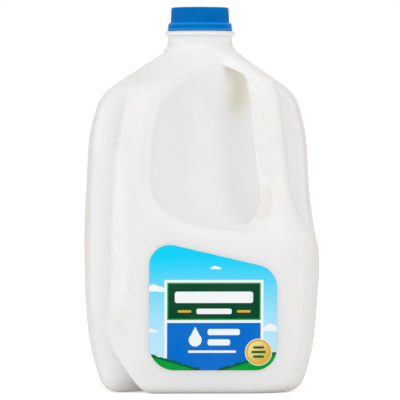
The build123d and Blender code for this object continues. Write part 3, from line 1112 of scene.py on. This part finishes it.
class MILKJUG_OT_label(bpy.types.Operator):
    """Lay the printed label on the front wall"""

    bl_idname = "milk_jug.label"
    bl_label = "Label"

    def execute(self, context):
        sizes = context.scene.milk_jug_label
        body = bpy.data.objects["jug_body"]
        tree = BVHTree.FromObject(body, context.evaluated_depsgraph_get())
        loop = label_loop(sizes) / MM
        centre = loop.mean(axis=0)
        # rings from the middle out, closer together at the edge
        shares = [*np.linspace(0.04, 0.96, 30), 0.985, 0.996, 1.0]
        verts, faces = [], []

        def wall(place):
            hit, _, _, _ = tree.ray_cast(Vector((place[0], -0.3, place[1])), Vector((0, 1, 0)))
            if hit is None:
                raise RuntimeError("the label reaches past the wall")
            return hit.y

        def add(place, out):
            verts.append((place[0], wall(place) - out, place[1]))
            return len(verts) - 1

        count = len(loop)
        front_centre = add(centre, sizes.thickness)
        rings = []
        for part in shares:
            out = sizes.thickness * (LABEL_EDGE if part == 1.0 else 1.0)
            rings.append([add(centre + (place - centre) * part, out) for place in loop])
        sunk = [add(centre + (place - centre) * 0.999, -LABEL_SUNK) for place in loop]
        back_centre = add(centre, -LABEL_SUNK)
        rings.append(sunk)
        for i in range(count):
            j = (i + 1) % count
            faces.append((front_centre, rings[0][i], rings[0][j]))
            for a, b in zip(rings, rings[1:]):
                faces.append((a[i], b[i], b[j], a[j]))
            faces.append((back_centre, sunk[j], sunk[i]))
        mesh = mesh_of("label_sheet", verts, faces)
        add_piece("label_sheet", mesh, label_material(sizes), "label", "label")
        return {"FINISHED"}


# No dew lies on the label, past the widest part or at the two ends, all in millimetres
DRY_FIELD = ((-42.0, 52.0), (13.0, 108.0))  # left and right, low and high
DRY_EDGE = 0.8
DRY_ENDS = (8.0, 236.0)


def dew_weight(centres, normals):
    """How thickly dew lies at each place: most on the front left ridge and the grip."""
    x, y, z = centres.T * MM
    away, across = (x - y) * ROOT_HALF, (x + y) * ROOT_HALF
    ridge = np.exp(-((x - RIDGE_X * MM) / 5.0) ** 2) * (y < -60)
    ridge = ridge * smooth(35, 60, z) * smooth(195, 170, z)
    side = (x < -70) * smooth(25, 60, z) * smooth(200, 170, z)
    grip = (away > 42) * (np.abs(across) < 16) * smooth(112, 130, z) * smooth(222, 205, z)
    shoulder = smooth(190, 205, z) * smooth(236, 228, z)
    upright = np.clip(1.0 - np.abs(normals[:, 2]) * 0.7, 0.1, 1.0)
    weight = (0.03 + 3.0 * ridge + 0.03 * side + 0.55 * grip + 0.05 * shoulder) * upright
    (left, right), (low, high) = DRY_FIELD
    dry = (y < -70) & (x > left) & (x < right) & (z > low) & (z < high)
    dry = dry | (np.maximum(np.abs(x), np.abs(y)) > JUG_BOX[1][0] * MM - DRY_EDGE)
    return np.where(dry | (z < DRY_ENDS[0]) | (z > DRY_ENDS[1]), 0.0, weight)


DEW_SIDES = 6
DEW_RINGS = ((1.0, -0.2), (0.88, 0.42), (0.5, 0.86))  # shares of a drop's reach and height
DEW_SAG = 0.14


def drop_corners(middle, down, level, normal, sizes):
    """The corners of one drop: rings that narrow to its top and sag down the wall."""
    long, wide, high = sizes
    corners = []
    for reach, lift in DEW_RINGS:
        for side in range(DEW_SIDES):
            angle = 2 * math.pi * side / DEW_SIDES
            sag = 1.0 + DEW_SAG * math.cos(angle) * lift
            corners.append(middle + down * long * reach * sag * math.cos(angle)
                           + level * wide * reach * math.sin(angle) + normal * high * lift)
    return [*corners, middle + normal * high]


def drop_faces(first):
    """The faces of one drop whose corners are counted from first."""
    faces = [tuple(first + side for side in reversed(range(DEW_SIDES)))]
    last = first + (len(DEW_RINGS) - 1) * DEW_SIDES
    for a in range(first, last, DEW_SIDES):
        for side in range(DEW_SIDES):
            b, on = a + DEW_SIDES, (side + 1) % DEW_SIDES
            faces.append((a + side, a + on, b + on, b + side))
    for side in range(DEW_SIDES):
        faces.append((last + side, last + (side + 1) % DEW_SIDES, last + DEW_SIDES))
    return faces


class MILKJUG_OT_dew(bpy.types.Operator):
    """Scatter small water drops over the cold plastic"""

    bl_idname = "milk_jug.dew"
    bl_label = "Dew"

    def execute(self, context):
        settings = context.scene.milk_jug_dew
        draw = np.random.default_rng(settings.seed)
        mesh = bpy.data.objects["jug_body"].data
        count = len(mesh.polygons)
        centres, normals, areas = np.empty(count * 3), np.empty(count * 3), np.empty(count)
        mesh.polygons.foreach_get("center", centres)
        mesh.polygons.foreach_get("normal", normals)
        mesh.polygons.foreach_get("area", areas)
        centres, normals = centres.reshape(-1, 3), normals.reshape(-1, 3)
        weight = dew_weight(centres, normals) * areas
        chosen = draw.choice(count, size=settings.drops, replace=False, p=weight / weight.sum())
        spread = settings.largest - settings.smallest
        verts, faces = [], []
        for index in chosen:
            normal = Vector(normals[index]).normalized()
            down = Vector((0, 0, -1)) - normal * -normal.z
            down = down.normalized() if down.length > 0.05 else normal.orthogonal().normalized()
            level = normal.cross(down)
            radius = settings.smallest + spread * draw.power(0.45)
            high = radius * draw.uniform(0.42, 0.62)
            long = radius * draw.uniform(1.0, 1.25)
            middle = Vector(centres[index]) + level * draw.normal(0, 0.0003)
            faces += drop_faces(len(verts))
            verts += drop_corners(middle, down, level, normal, (long, radius, high))
        dew = mesh_of("dew", [tuple(vert) for vert in verts], faces)
        piece = add_piece("dew", dew, water_material(settings), "jug")
        piece.visible_shadow = False
        return {"FINISHED"}


# Setting that holds each lamp's power, its place and its width, in metres
LAMPS = (
    ("key", (-2.4, -1.1, 1.0), 0.35),
    ("fill", (1.4, -1.9, 1.2), 1.6),
    ("top", (-0.5, -0.8, 2.1), 1.4),
)
LAMP_TARGET = Vector((0, 0, 0.12))


class MILKJUG_OT_stage(bpy.types.Operator):
    """Set the floor, backdrop, lamps and camera"""

    bl_idname = "milk_jug.stage"
    bl_label = "Stage"

    def execute(self, context):
        stage = context.scene.milk_jug_stage
        context.scene.view_settings.view_transform = "Standard"
        self.floor(stage)
        self.backdrop(context, stage)
        for name, place, size in LAMPS:
            self.lamp(context, name + "_lamp", place, size, getattr(stage, name))
        self.camera(context, stage)
        return {"FINISHED"}

    def floor(self, stage):
        """A wide pale floor that keeps the jug's shadow."""
        mesh = bpy.data.meshes.new("floor")
        work = bmesh.new()
        bmesh.ops.create_grid(work, x_segments=8, y_segments=8, size=6.0)
        work.to_mesh(mesh)
        work.free()
        floor = bpy.data.objects.new("floor", mesh)
        bpy.context.scene.collection.objects.link(floor)
        material, graph, shader = new_material("Paper floor")
        rays = graph.node("ShaderNodeLightPath")
        seen = rays.outputs["Is Camera Ray"]
        tooth = graph.noise(graph.place(), 60.0, 3.0)
        graph.feed(shader.inputs["Normal"], graph.bump(tooth, 0.00005))
        shader.inputs["Base Color"].default_value = rgba(stage.paper)
        shader.inputs["Roughness"].default_value = 0.9
        shader.inputs["Specular IOR Level"].default_value = 0.1
        shader.inputs["Emission Color"].default_value = (1.0, 1.0, 1.0, 1.0)
        white_out = 0.42  # the glow that makes the floor as white as the backdrop
        lift = graph.math("MULTIPLY_ADD", seen, white_out - stage.glow, stage.glow)
        graph.feed(shader.inputs["Emission Strength"], lift)
        mesh.materials.append(material)

    def backdrop(self, context, stage):
        """White to the eye, and a plain soft light otherwise."""
        world = bpy.data.worlds.new("Studio")
        world.use_nodes = True
        context.scene.world = world
        graph = Graph(world.node_tree)
        background = world.node_tree.nodes["Background"]
        rays = graph.node("ShaderNodeLightPath")
        seen = rays.outputs["Is Camera Ray"]
        background.inputs["Color"].default_value = (1.0, 1.0, 1.0, 1.0)
        lift = graph.math("MULTIPLY_ADD", seen, 1.0 - stage.ambient, stage.ambient)
        graph.feed(background.inputs["Strength"], lift)

    def lamp(self, context, name, place, size, power):
        """A square soft lamp that faces the jug."""
        data = bpy.data.lights.new(name, "AREA")
        data.shape, data.size, data.energy = "SQUARE", size, power
        lamp = bpy.data.objects.new(name, data)
        lamp.location = place
        aim = LAMP_TARGET - Vector(place)
        lamp.rotation_euler = aim.to_track_quat("-Z", "Y").to_euler()
        context.scene.collection.objects.link(lamp)

    def camera(self, context, stage):
        """The camera, a little to the left of straight ahead."""
        data = bpy.data.cameras.new("camera")
        data.lens = data.sensor_width * stage.distance / stage.view
        data.clip_start, data.clip_end = 0.1, 50.0
        camera = bpy.data.objects.new("camera", data)
        camera.location = (stage.distance * math.sin(stage.turn),
                           -stage.distance * math.cos(stage.turn), stage.height)
        look = Vector((0, 0, stage.aim)) - camera.location
        camera.rotation_euler = look.to_track_quat("-Z", "Y").to_euler()
        context.scene.collection.objects.link(camera)
        context.scene.camera = camera


GROUPS = (
    ("milk_jug_body", JugSettings, "milk_jug.body"),
    ("milk_jug_cap", CapSettings, "milk_jug.cap"),
    ("milk_jug_label", LabelSettings, "milk_jug.label"),
    ("milk_jug_dew", DewSettings, "milk_jug.dew"),
    ("milk_jug_stage", StageSettings, "milk_jug.stage"),
)


class MILKJUG_PT_panel(bpy.types.Panel):
    """The jug's pieces, with their sizes and colours"""

    bl_idname = "MILKJUG_PT_panel"
    bl_label = "Milk Jug"
    bl_space_type = "VIEW_3D"
    bl_region_type = "UI"
    bl_category = "Milk Jug"

    def draw(self, context):
        for attribute, group, operator in GROUPS:
            box = self.layout.box()
            box.operator(operator)
            for name in group.__annotations__:
                box.prop(getattr(context.scene, attribute), name)


CLASSES = (
    JugSettings, CapSettings, LabelSettings, DewSettings, StageSettings,
    MILKJUG_OT_body, MILKJUG_OT_cap, MILKJUG_OT_label, MILKJUG_OT_dew, MILKJUG_OT_stage,
    MILKJUG_PT_panel,
)


def register():
    """Makes the settings, operators and panel known."""
    for each in CLASSES:
        bpy.utils.register_class(each)
    for attribute, group, _ in GROUPS:
        setattr(bpy.types.Scene, attribute, bpy.props.PointerProperty(type=group))


def unregister():
    """Takes them away again."""
    for attribute, _, _ in GROUPS:
        delattr(bpy.types.Scene, attribute)
    for each in reversed(CLASSES):
        bpy.utils.unregister_class(each)


def main():
    register()
    bpy.ops.milk_jug.body()
    bpy.ops.milk_jug.cap()
    bpy.ops.milk_jug.label()
    bpy.ops.milk_jug.dew()
    bpy.ops.milk_jug.stage()


if __name__ == "__main__":
    main()
